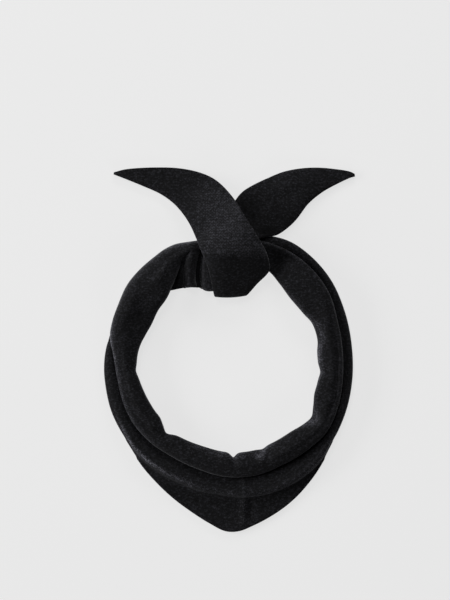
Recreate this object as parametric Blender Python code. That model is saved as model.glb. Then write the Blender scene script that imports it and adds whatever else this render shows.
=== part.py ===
"""A narrow triangle neckerchief in soft felted knit, knotted into a ring and laid flat on a table.

Its long edge is turned down into a roll round the neck opening. Below the roll the cloth puffs into a second fold
and then runs out flat to the point at the front. At the back its two narrow ends tie in a half knot: the end from
the right passes under the other, wraps up over it and lies out to the left. The other comes out to the right.

The frame is the table: Z is up, Y runs from the point to the knot, and the origin is the middle of the footprint.
Sizes are in millimetres in the tables and become metres when a mesh is made.
"""

import math
from collections import namedtuple

import bmesh
import bpy
from mathutils import Vector

MM = 0.001
CLOTH = 2.4  # one layer of the knit, lying
HALF = CLOTH / 2
GAP = 0.3  # clearance between two stretches that lie on each other
LIFT = CLOTH + GAP  # height of what lies on one layer

# The ring is laid out in turns, in degrees clockwise from the knot as seen from above, and radii from this centre.
RING_X = -2.0
RING_Y = -23.0
TURN_STEP = 3.0

# The roll, a section at each turn: hole and rim are the radii of its fold at the neck opening and of its free edge.
# crown, shoulder and brow are the heights of its top beside the fold and at a third and two thirds of the way out,
# bend is the width of its rounded inner side, rim_top and rim_low are the top and the underside of its free edge, slot
# is how far the gap under that edge runs in, low_edge the radius of the layer under the gap measured in from the rim,
# and floor the height of the roll's underside where it lies on the front drape.
Roll = namedtuple("Roll", "turn hole rim crown shoulder brow bend rim_top rim_low slot low_edge floor")
ROLL = (
    Roll(13, 111.5, 135.5, 7.8, 7.8, 8.0, 4.6, 9.0, 5.6, 5.0, 4.0, LIFT),
    Roll(18, 110.5, 135.7, 7.4, 6.8, 7.4, 5.0, 9.6, 6.4, 5.0, 4.0, LIFT),
    Roll(25, 106.0, 135.6, 7.0, 5.9, 7.2, 5.5, 10.0, 6.8, 5.0, 4.0, LIFT),
    Roll(32, 100.8, 135.0, 11.4, 11.2, 10.4, 7.5, 12.0, 8.4, 5.0, 4.0, LIFT),
    Roll(40, 96.8, 132.8, 13.6, 14.2, 12.6, 9.0, 12.8, 9.2, 5.0, 4.0, LIFT),
    Roll(52, 96.0, 128.3, 13.6, 14.2, 12.4, 9.0, 12.6, 9.0, 5.0, 4.0, LIFT),
    Roll(64, 97.5, 121.3, 12.6, 12.8, 11.2, 7.0, 12.0, 8.6, 5.0, 4.0, LIFT),
    Roll(78, 91.6, 116.8, 12.0, 12.2, 10.6, 6.5, 11.8, 8.5, 5.0, 4.0, LIFT),
    Roll(92, 90.4, 114.9, 12.0, 11.8, 10.2, 6.5, 11.6, 8.4, 5.0, 4.0, LIFT),
    Roll(106, 91.4, 115.3, 11.8, 11.8, 10.4, 6.5, 11.5, 8.3, 5.0, 4.0, LIFT),
    Roll(119, 93.5, 116.3, 11.6, 11.8, 10.8, 6.0, 11.4, 8.2, 5.0, 4.0, LIFT),
    Roll(134, 86.8, 111.8, 11.6, 12.0, 11.0, 6.0, 11.2, 8.0, 5.0, 4.0, LIFT),
    Roll(150, 83.4, 107.9, 11.4, 11.8, 11.0, 6.0, 10.9, 7.9, 5.0, 4.0, LIFT),
    Roll(166, 81.8, 107.2, 11.2, 11.7, 11.0, 6.0, 10.8, 7.8, 5.0, 4.0, LIFT),
    Roll(182, 79.8, 104.9, 11.2, 11.7, 11.0, 6.0, 10.8, 7.8, 5.0, 4.0, LIFT),
    Roll(198, 78.2, 101.8, 11.3, 11.9, 11.3, 6.0, 10.9, 7.8, 5.0, 4.0, LIFT),
    Roll(214, 80.2, 101.9, 11.3, 12.1, 11.6, 6.0, 11.0, 7.9, 5.0, 4.0, LIFT),
    Roll(228, 83.6, 105.1, 11.3, 12.3, 11.9, 6.0, 11.1, 8.0, 5.0, 4.0, LIFT),
    Roll(242, 82.8, 108.4, 11.3, 12.6, 12.2, 6.5, 11.2, 8.2, 5.0, 4.0, LIFT),
    Roll(256, 85.8, 110.1, 11.4, 13.0, 12.6, 6.5, 11.4, 8.4, 5.0, 4.0, LIFT),
    Roll(267, 89.4, 111.4, 11.6, 13.2, 12.8, 6.5, 11.6, 8.4, 5.0, 4.0, LIFT),
    Roll(278, 91.7, 116.0, 11.8, 13.8, 13.4, 7.0, 11.8, 7.4, 4.6, 3.8, LIFT),
    Roll(287, 91.4, 123.6, 12.0, 14.8, 14.4, 8.0, 12.0, 6.0, 8.5, 7.2, LIFT),
    Roll(294, 90.0, 126.6, 12.2, 15.4, 15.2, 9.0, 12.2, 5.4, 13.0, 11.0, LIFT),
    Roll(302, 89.6, 129.2, 12.6, 15.9, 15.8, 9.5, 12.4, 3.3, 2.6, 1.3, 0.0),
    Roll(311, 92.6, 133.6, 13.4, 16.4, 16.2, 10.0, 12.6, 3.0, 2.6, 1.0, 0.0),
    Roll(320, 96.2, 135.7, 13.8, 16.4, 16.2, 10.0, 12.8, 3.0, 2.6, 1.0, 0.0),
    Roll(327, 102.2, 136.7, 12.6, 16.0, 16.0, 9.0, 12.8, 3.0, 2.6, 1.0, 0.0),
    Roll(333, 111.0, 138.1, 11.6, 15.2, 15.6, 7.5, 12.4, 3.0, 2.6, 1.0, 0.0),
    Roll(338, 120.2, 138.0, 11.2, 14.0, 14.6, 6.0, 11.8, 3.0, 2.6, 1.0, 0.0),
    Roll(343, 123.6, 136.1, 11.0, 12.6, 13.2, 4.0, 11.2, 3.0, 2.4, 1.0, 0.0),
    Roll(351, 125.6, 134.0, 11.0, 11.6, 12.0, 3.0, 10.8, 3.0, 2.0, 1.0, 0.0),
)

LIP = 0.7  # how far the roll's free edge curls up above the cloth beside it
FOOT_STEP = 1.0  # how far in the roll's underside steps down from the drape onto the table
FOOT_LEAST = 0.6  # the least width of that foot beside the rounded inner side
UNDER_SLOT = 0.2  # how much thinner the layer under the gap is than the cloth

# Pinches in the roll's inner fold: how far each pushes the fold outwards, how deep its crease runs in the top, its
# half width in degrees, and how far over the roll it reaches.
Pinch = namedtuple("Pinch", "turn push depth spread reach")
PINCHES = (
    Pinch(59, 1.2, 1.2, 5.0, 14.0),
    Pinch(90, 2.2, 1.6, 4.0, 12.0),
    Pinch(104, -1.6, -0.6, 5.0, 10.0),
    Pinch(117, 1.6, 2.0, 4.0, 12.0),
    Pinch(156, 1.4, 1.8, 3.5, 13.0),
    Pinch(176.5, 5.0, 2.6, 2.6, 12.0),
    Pinch(225, 3.6, 2.2, 4.0, 16.0),
    Pinch(236, -1.4, -0.5, 4.0, 10.0),
    Pinch(270.5, 1.6, 1.6, 3.5, 14.0),
)

# The front drape, which starts on the table under the roll: ridge and edge are the radii of the crest of its fold and
# of its outline, and ridge_top and edge_top the heights there. Where the point runs out, the edge is one layer.
Drape = namedtuple("Drape", "turn ridge edge ridge_top edge_top")
DRAPE = (
    Drape(13, 137.0, 140.2, 6.2, 5.8),
    Drape(19, 139.5, 143.2, 6.9, 6.4),
    Drape(26, 140.6, 144.6, 7.6, 7.0),
    Drape(36, 138.2, 142.4, 8.2, 7.6),
    Drape(48, 134.1, 138.3, 8.4, 7.8),
    Drape(62, 127.6, 131.9, 8.5, 7.9),
    Drape(78, 122.3, 126.7, 8.5, 7.8),
    Drape(94, 120.1, 124.7, 8.4, 7.6),
    Drape(108, 119.9, 124.6, 8.3, 7.2),
    Drape(119, 121.0, 125.3, 8.2, 6.6),
    Drape(127, 123.9, 127.4, 8.1, 4.6),
    Drape(135, 124.9, 132.0, 8.0, CLOTH),
    Drape(144, 125.1, 137.6, 8.0, CLOTH),
    Drape(154, 125.0, 144.6, 8.0, CLOTH),
    Drape(164, 124.5, 151.3, 8.0, CLOTH),
    Drape(171, 123.6, 156.3, 8.0, CLOTH),
    Drape(176, 122.6, 160.0, 8.0, CLOTH),
    Drape(181, 121.4, 159.6, 8.0, CLOTH),
    Drape(187, 119.8, 152.8, 8.0, CLOTH),
    Drape(195, 117.6, 144.6, 8.0, CLOTH),
    Drape(204, 116.0, 137.6, 8.0, CLOTH),
    Drape(213, 115.0, 131.9, 8.0, CLOTH),
    Drape(222, 115.4, 127.3, 8.1, CLOTH),
    Drape(231, 116.6, 123.5, 8.2, 4.2),
    Drape(240, 116.6, 122.0, 8.4, 6.6),
    Drape(251, 117.6, 122.9, 8.6, 7.6),
    Drape(262, 118.6, 123.4, 8.6, 7.8),
    Drape(272, 120.4, 124.2, 8.2, 7.4),
    Drape(281, 121.6, 124.3, 7.0, 6.2),
    Drape(287, 122.0, 123.5, 5.0, 4.4),
    Drape(291, 122.4, 124.4, CLOTH, CLOTH),
)
DRAPE_UNDER_ROLL = 8.0  # how far the drape's hidden layer runs in from the roll's rim
DRAPE_RISE_FROM = 3.4  # where its fold starts to rise, in from the rim
DRAPE_RISE_LEAST = 4.9  # the least distance its fold rises over
DRAPE_RISE_BEND = 1.7  # over 1: the fold rises fast at first and then levels out
DRAPE_FALL = 6.0  # how far its fold takes to come down to the flat point
DRAPE_NOSE = 0.8  # share of the way from the crest to the outline that the rounded outline may take
POINT_CREASE_X = 14.0  # the crease down the middle of the point, where the kerchief is stored folded
POINT_CREASE_FROM = -148.0
POINT_CREASE_HIGH = 0.7
POINT_CREASE_WIDE = 4.0

# A tail, as sections from one end to the other: its left and right edge as seen from above when looking along it
# from the first row, the heights of both edges and of its middle, and how far the middle runs ahead of the ends.
Tail = namedtuple("Tail", "left_x left_y right_x right_y left_z mid_z right_z bow")
LEFT_TAIL = (  # from its tip, over the knot, round the bottom of the knot and back under it
    Tail(-116.8, 175.0, -116.6, 177.0, HALF, HALF, HALF, 0.0),
    Tail(-104.3, 170.3, -102.5, 180.2, HALF, 1.6, HALF, 0.0),
    Tail(-86.4, 163.2, -78.0, 181.6, HALF, 2.4, HALF, 0.0),
    Tail(-70.0, 155.8, -52.0, 180.9, HALF, 3.8, HALF, 0.0),
    Tail(-57.0, 146.6, -29.5, 176.2, 2.2, 6.0, 2.2, 0.0),
    Tail(-47.3, 136.0, -12.4, 167.4, 4.4, 8.4, 5.0, 0.0),
    Tail(-39.8, 124.4, 3.0, 151.0, 7.6, 12.8, 10.6, 0.0),
    Tail(-34.3, 112.5, 14.2, 132.4, 13.4, 18.6, 16.0, 0.0),
    Tail(-29.8, 101.0, 24.8, 115.8, 19.4, 24.6, 19.0, 0.0),
    Tail(-24.4, 88.5, 33.6, 101.0, 19.4, 24.6, 17.2, 0.0),
    Tail(-20.2, 76.0, 38.4, 88.4, 15.8, 20.4, 14.4, 0.0),
    Tail(-18.2, 65.0, 38.6, 77.8, 12.4, 16.2, 11.6, 0.5),
    Tail(-16.4, 57.4, 27.2, 66.0, 10.4, 13.0, 8.8, 1.0),
    Tail(-15.2, 53.4, 17.4, 55.2, 7.0, 8.2, 5.6, 1.4),
    Tail(-14.4, 54.4, 15.6, 55.6, 2.8, 3.0, 2.6, 1.0),
    Tail(-13.2, 60.5, 17.0, 60.5, HALF, HALF, HALF, 0.0),
    Tail(-9.0, 72.0, 22.0, 68.0, HALF, HALF, HALF, 0.0),
    Tail(-2.0, 84.0, 21.0, 80.0, HALF, HALF, HALF, 0.0),
)
RIGHT_TAIL = (  # from its hidden end under the knot's wrap to its tip
    Tail(-16.0, 112.0, 8.0, 98.0, 13.6, 14.6, 11.6, 0.0),
    Tail(-7.0, 129.0, 20.0, 106.5, 9.6, 12.0, 9.8, 0.0),
    Tail(4.2, 146.6, 33.6, 112.0, 4.2, 8.2, 6.9, 0.0),
    Tail(12.5, 157.0, 46.0, 113.9, 2.0, 6.6, 4.6, 0.0),
    Tail(24.0, 164.4, 57.0, 120.9, 1.5, 6.6, 3.2, 0.0),
    Tail(38.0, 171.0, 67.0, 130.6, 1.3, 5.8, 2.2, 0.0),
    Tail(54.0, 177.2, 78.5, 146.0, HALF, 4.2, 1.5, 0.0),
    Tail(72.0, 180.6, 93.0, 157.8, HALF, 2.7, HALF, 0.0),
    Tail(90.0, 181.3, 107.0, 165.5, HALF, 1.9, HALF, 0.0),
    Tail(107.0, 179.8, 118.0, 170.7, HALF, 1.5, HALF, 0.0),
    Tail(119.8, 177.9, 123.4, 172.4, HALF, HALF, HALF, 0.0),
    Tail(125.2, 175.4, 125.4, 172.9, HALF, HALF, HALF, 0.0),
)
TAIL_STEPS = 2  # sections from one row of a tail's table to the next
TAIL_ACROSS = 9  # points across each face of a tail
TAIL_ROUND_MOST = 0.8  # the most of a tail's width that its two round edges take, at its narrow tip
NEARBY = 0.02  # how far across a tail its slope is read

# The pleats, where the roll's left arm gathers into the knot, fanned out from the knot: for each pleat or valley the
# end of its line at the neck opening, its middle and its end at the knot, its height at both ends, and the height of
# its underside. The last rows are the bundle that the knot's wrap hides.
Pleat = namedtuple("Pleat", "edge_x edge_y mid_x mid_y knot_x knot_y edge_top knot_top floor")
PLEATS = (
    Pleat(-57.3, 58.0, -51.0, 73.8, -44.2, 90.0, 2.6, 3.4, 0.0),
    Pleat(-47.8, 60.2, -46.8, 76.0, -39.8, 93.6, 2.8, 3.8, 0.0),
    Pleat(-42.0, 61.2, -42.8, 77.0, -35.8, 95.6, 7.0, 9.0, 0.0),
    Pleat(-36.8, 61.9, -39.0, 78.0, -32.0, 97.4, 10.4, 10.4, 0.0),
    Pleat(-32.8, 61.3, -34.6, 78.4, -29.0, 98.4, 8.4, 10.2, 0.0),
    Pleat(-29.8, 60.5, -31.6, 79.0, -26.4, 99.0, 4.4, 9.0, 0.0),
    Pleat(-25.6, 59.0, -28.2, 78.0, -23.0, 99.0, 4.8, 9.6, 0.0),
    Pleat(-21.4, 57.4, -24.2, 77.6, -19.8, 99.0, 10.0, 10.8, 0.0),
    Pleat(-10.0, 59.5, -14.0, 79.0, -12.0, 99.0, 9.8, 15.0, LIFT),
    Pleat(4.0, 60.0, -1.0, 80.0, -3.0, 99.0, 9.4, 17.6, LIFT),
    Pleat(13.0, 64.0, 9.0, 80.0, 6.0, 97.0, 9.0, 16.4, LIFT),
    Pleat(18.0, 72.0, 14.5, 80.0, 11.0, 90.0, 7.6, 12.0, LIFT),
)
PLEAT_STEPS = 4
PLEAT_ALONG = 7
PLEAT_NOSE = 4.0  # how far a pleat's rounded edge reaches in from the neck opening

KNIT_COLOUR = (0.0105, 0.0105, 0.0117)  # linear, a near-black charcoal
KNIT_ROUGH = 0.95


def curve_through(places, values, at):
    """The value at a place on a smooth curve through (place, value) points whose places rise."""
    last = len(places) - 2
    i = next((k for k in range(last) if at < places[k + 1]), last)
    wide = places[i + 1] - places[i]
    step = values[i + 1] - values[i]
    before = slope_at(places, values, i) * wide
    after = slope_at(places, values, i + 1) * wide
    q = min(max((at - places[i]) / wide, 0.0), 1.0)
    return (
        values[i]
        + q * before
        + q * q * (3 * step - 2 * before - after)
        + q * q * q * (before + after - 2 * step)
    )


def slope_at(places, values, i):
    """The slope of the smooth curve at one of its points, from the points beside it."""
    low = max(i - 1, 0)
    high = min(i + 1, len(places) - 1)
    return (values[high] - values[low]) / (places[high] - places[low])


def row_at(table, at, places=None):
    """A row of the table's kind, read between its rows at a place on its first column or on the places given."""
    if places is None:
        places = [row[0] for row in table]
    return type(table[0])(*(curve_through(places, column, at) for column in zip(*table)))


def steps(first, last, step):
    """Evenly spaced numbers from first to last, about a step apart."""
    count = round((last - first) / step)
    return [first + (last - first) * k / count for k in range(count + 1)]


def mix(a, b, share):
    return a + (b - a) * share


def arc(radius, height, out, up, degrees):
    """Points of an upright section on an ellipse round (radius, height), at angles from straight out, upwards."""
    angles = [math.radians(d) for d in degrees]
    return [(radius + out * math.cos(a), height + up * math.sin(a)) for a in angles]


def on_ring(turn, radius, height):
    """The point of the ring at a turn, radius and height."""
    angle = math.radians(turn)
    return Vector((RING_X + radius * math.sin(angle), RING_Y + radius * math.cos(angle), height))


def pinched(turn, into):
    """How much a pinch pushes the fold out and lowers the top, at a turn and a distance in from the fold."""
    push = 0.0
    depth = 0.0
    for pinch in PINCHES:
        near = math.exp(-(((turn - pinch.turn) / pinch.spread) ** 2))
        push += pinch.push * near
        depth += pinch.depth * near * max(0.0, 1.0 - into / pinch.reach)
    return push, depth


def roll_section(turn):
    """The roll cut across at a turn, as (radius, height) points from its inner foot, over the top and back under."""
    row = row_at(ROLL, turn)
    floor = min(max(row.floor, 0.0), LIFT)
    hole = row.hole + pinched(turn, 0)[0]
    top = row.crown - pinched(turn, 0)[1]
    nose = (row.rim_top - row.rim_low) / 2
    inner = arc(hole + row.bend, top / 2, -row.bend, top / 2, (-90, -60, -30, 0, 30, 60, 90))
    start = hole + row.bend
    finish = row.rim - nose
    over = []
    for share, height in ((0.18, row.crown), (0.4, row.shoulder), (0.62, row.brow), (0.84, row.rim_top - LIP)):
        radius = mix(start, finish, share)
        over.append((radius, height - pinched(turn, radius - start)[1]))
    rim_middle = (row.rim_top + row.rim_low) / 2
    rim = arc(finish, rim_middle, nose, (row.rim_top - row.rim_low) / 2, (90, 45, 0, -45, -90))
    low_top = floor + CLOTH - UNDER_SLOT
    slot = [(row.rim - row.slot - nose, (row.rim_low + low_top) / 2)]
    low_middle = (floor + low_top) / 2
    low = arc(row.rim - row.low_edge - HALF, low_middle, HALF, low_middle - floor, (90, 0, -90))
    step_in = row.rim - DRAPE_UNDER_ROLL - 2 * HALF
    foot = max(step_in - FOOT_STEP, start + FOOT_LEAST)
    under = [(max(step_in, foot + FOOT_STEP / 2), floor), (foot, 0.0)]
    return inner + over + rim + slot + low + under


def drape_section(turn):
    """The front drape cut across at a turn, as (radius, height) points from its hidden inner edge to its outline."""
    row = row_at(DRAPE, turn)
    rim = row_at(ROLL, turn).rim
    inner = arc(rim - DRAPE_UNDER_ROLL, HALF, -HALF, HALF, (-90, 0, 90))
    rise_from = min(rim - DRAPE_RISE_FROM, row.ridge - DRAPE_RISE_LEAST)
    rise = []
    for share in (0.0, 0.22, 0.45, 0.72):
        height = mix(CLOTH, row.ridge_top, 1 - (1 - share) ** DRAPE_RISE_BEND)
        rise.append((mix(rise_from, row.ridge, share), height))
    nose = min(row.edge_top / 2, (row.edge - row.ridge) * DRAPE_NOSE)
    edge_from = row.edge - nose
    fall_wide = min(DRAPE_FALL, edge_from - row.ridge)
    fall = [(row.ridge, row.ridge_top)]
    for share in (0.25, 0.5, 0.75):
        drop = share * share * (3 - 2 * share)
        fall.append((row.ridge + share * fall_wide, mix(row.ridge_top, row.edge_top, drop)))
    fall.append((mix(row.ridge + fall_wide, edge_from, 0.5), row.edge_top))
    edge = arc(edge_from, row.edge_top / 2, nose, row.edge_top / 2, (90, 45, 0, -45, -90))
    return inner + rise + fall + edge


def point_crease(point):
    """How far the crease down the point lifts the cloth, at a point of the drape."""
    beside = (point.x - POINT_CREASE_X) / POINT_CREASE_WIDE
    onto_point = min(max((POINT_CREASE_FROM - point.y) / POINT_CREASE_WIDE, 0.0), 1.0)
    return POINT_CREASE_HIGH * onto_point * math.exp(-beside * beside)


def ring_solid_rings(section, first, last):
    """The sections of a stretch of the ring, placed in the frame."""
    rings = []
    for turn in steps(first, last, TURN_STEP):
        rings.append([on_ring(turn, radius, height) for radius, height in section(turn)])
    return rings


def tail_surface(row, across):
    """A point of a tail's middle surface, across from -1 at its left edge to 1 at its right."""
    left = Vector((row.left_x, row.left_y, row.left_z))
    right = Vector((row.right_x, row.right_y, row.right_z))
    point = left.lerp(right, (across + 1) / 2)
    arch = 1 - across**4
    point.z += arch * (row.mid_z - (row.left_z + row.right_z) / 2)
    ahead = Vector((right.y - left.y, left.x - right.x, 0)).normalized()
    return point + ahead * row.bow * (1 - across * across)


def tail_rings(table):
    """The closed sections of a tail: its middle surface moved out by half a layer each way, with round edges."""
    places = list(range(len(table)))
    count = TAIL_STEPS * (len(table) - 1)
    rings = []
    for k in range(count + 1):
        row = row_at(table, k / TAIL_STEPS, places)
        ahead_row = row_at(table, min(k + 0.5, count) / TAIL_STEPS, places)
        back_row = row_at(table, max(k - 0.5, 0) / TAIL_STEPS, places)
        left = Vector((row.left_x, row.left_y))
        right = Vector((row.right_x, row.right_y))
        inset = min(TAIL_ROUND_MOST, 2 * HALF / (right - left).length)
        upper = []
        lower = []
        sides = []
        for j in range(TAIL_ACROSS):
            across = (1 - inset) * (2 * j / (TAIL_ACROSS - 1) - 1)
            middle = tail_surface(row, across)
            along = tail_surface(ahead_row, across) - tail_surface(back_row, across)
            sideways = tail_surface(row, across + NEARBY) - tail_surface(row, across - NEARBY)
            normal = along.cross(sideways).normalized()
            upper.append(middle + normal * HALF)
            lower.append(middle - normal * HALF)
            if j in (0, TAIL_ACROSS - 1):
                out = sideways.normalized() * (1 if j else -1)
                sides.append([middle + (out + normal * tilt).normalized() * HALF for tilt in (1, 0, -1)])
        ring = upper + sides[1] + lower[::-1] + sides[0][::-1]
        for point in ring:
            point.z = max(point.z, 0.0)
        rings.append(ring)
    return rings


def pleat_rings():
    """The closed sections of the pleats, from the roll's arm across the fan to the hidden end of the bundle."""
    places = list(range(len(PLEATS)))
    count = PLEAT_STEPS * (len(PLEATS) - 1)
    rings = []
    for k in range(count + 1):
        row = row_at(PLEATS, k / PLEAT_STEPS, places)
        floor = min(max(row.floor, 0.0), LIFT)
        edge = Vector((row.edge_x, row.edge_y, 0))
        middle = Vector((row.mid_x, row.mid_y, 0))
        knot = Vector((row.knot_x, row.knot_y, 0))
        long = (knot - edge).length
        nose = min(PLEAT_NOSE, (row.edge_top - floor) / 2)
        outline = arc(nose, (row.edge_top + floor) / 2, -nose, (row.edge_top - floor) / 2, (-90, -45, 0, 45, 90))
        for j in range(1, PLEAT_ALONG):
            share = j / (PLEAT_ALONG - 1)
            outline.append((mix(nose, long, share), mix(row.edge_top, row.knot_top, share)))
        outline.append((long, floor))
        ring = []
        for into, height in outline:
            share = into / long
            bend = 4 * share * (1 - share)
            ring.append(edge.lerp(knot, share) + (middle - (edge + knot) / 2) * bend + Vector((0, 0, height)))
        rings.append(ring)
    return rings


def knit_material():
    """Charcoal cashmere knit, milled so that its stitches are soft: dark, matt, with no metal in it."""
    material = bpy.data.materials.new("charcoal_cashmere_knit")
    material.use_nodes = True
    shader = material.node_tree.nodes["Principled BSDF"]
    shader.inputs["Base Color"].default_value = (*KNIT_COLOUR, 1.0)
    shader.inputs["Roughness"].default_value = KNIT_ROUGH
    shader.inputs["Metallic"].default_value = 0.0
    material.diffuse_color = (*KNIT_COLOUR, 1.0)
    return material


def solid_through(name, rings, material, collection):
    """A closed solid through rings that have the same number of points, with both ends capped."""
    mesh = bpy.data.meshes.new(name)
    bm = bmesh.new()
    loops = [[bm.verts.new(point * MM) for point in ring] for ring in rings]
    for here, there in zip(loops, loops[1:]):
        for k in range(len(here)):
            bm.faces.new((here[k - 1], here[k], there[k], there[k - 1]))
    bm.faces.new(loops[0])
    bm.faces.new(loops[-1])
    bmesh.ops.recalc_face_normals(bm, faces=bm.faces)
    bmesh.ops.triangulate(bm, faces=[face for face in bm.faces if len(face.verts) > 4])
    bm.to_mesh(mesh)
    bm.free()
    mesh.materials.append(material)
    mesh.shade_smooth()
    made = bpy.data.objects.new(name, mesh)
    collection.objects.link(made)
    return made


def main():
    for old in list(bpy.data.objects):
        bpy.data.objects.remove(old)
    collection = bpy.data.collections.new("knotted_neckerchief")
    bpy.context.scene.collection.children.link(collection)
    knit = knit_material()
    roll = ring_solid_rings(roll_section, ROLL[0].turn, ROLL[-1].turn)
    drape = ring_solid_rings(drape_section, DRAPE[0].turn, DRAPE[-1].turn)
    for ring in drape:
        for point in ring:
            if point.z > HALF:
                point.z += point_crease(point)
    solid_through("neck_roll", roll, knit, collection)
    solid_through("front_drape", drape, knit, collection)
    solid_through("left_tail_and_wrap", tail_rings(LEFT_TAIL), knit, collection)
    solid_through("right_tail", tail_rings(RIGHT_TAIL), knit, collection)
    solid_through("knot_pleats", pleat_rings(), knit, collection)


main()
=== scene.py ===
"""A small triangular neckerchief in brushed charcoal knit, tied with a half knot and laid flat.

It is seen from straight above. Each stretch of the cloth that shows is one thin shell, laid on the form of
the solid that it stands for. The tables give its sections in millimetres. Every mesh is made in metres.
"""

import math
from collections import namedtuple

import bmesh
import bpy
import numpy as np
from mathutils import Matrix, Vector, noise


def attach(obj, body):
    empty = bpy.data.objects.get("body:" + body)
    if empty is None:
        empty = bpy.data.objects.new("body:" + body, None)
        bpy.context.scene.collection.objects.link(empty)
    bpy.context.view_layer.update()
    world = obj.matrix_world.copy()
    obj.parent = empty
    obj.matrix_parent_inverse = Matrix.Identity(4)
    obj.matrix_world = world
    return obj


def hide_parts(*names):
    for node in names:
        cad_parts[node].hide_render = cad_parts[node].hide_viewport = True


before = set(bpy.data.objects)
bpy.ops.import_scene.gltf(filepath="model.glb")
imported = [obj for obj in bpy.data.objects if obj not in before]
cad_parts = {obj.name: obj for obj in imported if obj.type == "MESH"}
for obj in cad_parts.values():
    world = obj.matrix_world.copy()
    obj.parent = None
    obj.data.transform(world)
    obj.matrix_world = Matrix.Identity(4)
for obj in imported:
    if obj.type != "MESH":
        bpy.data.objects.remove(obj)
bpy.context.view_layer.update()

MM = 0.001
CM = 0.01

# ---- the cloth -----------------------------------------------------------------------------------

CLOTH = 2.4  # the room that one layer of the knit takes, lying
HALF = CLOTH / 2
SHELL = CLOTH - 0.1  # how thick a layer is made
GAP = 0.3  # the room between one layer and the next
LIFT = CLOTH + GAP  # how high a layer lies that has one layer under it
CORNER = 0.3  # rounding draws a bend in by about this much, so bends are drawn larger, and none is smaller
# The real stitches are 2.0 wide and 1.5 high. That is too fine to show at the photo's distance, so they are
# drawn larger.
WALE = 3.2  # width of one column of stitches
COURSE = 3.0  # height of one row of stitches
LEG_LEANS = 2.0  # how many rows a stitch's leg would climb over the width of its column

# How many sections each sheet has, and how many points lie across each of them.
ROLL_GRID = (310, 33)
FRONT_GRID = (290, 31)
LEFT_GRID = (150, 30)
RIGHT_GRID = (90, 26)
PLEAT_GRID = (120, 24)

RING_X = -2.0  # the middle of the neck opening, which the turns go round
RING_Y = -23.0

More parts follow.
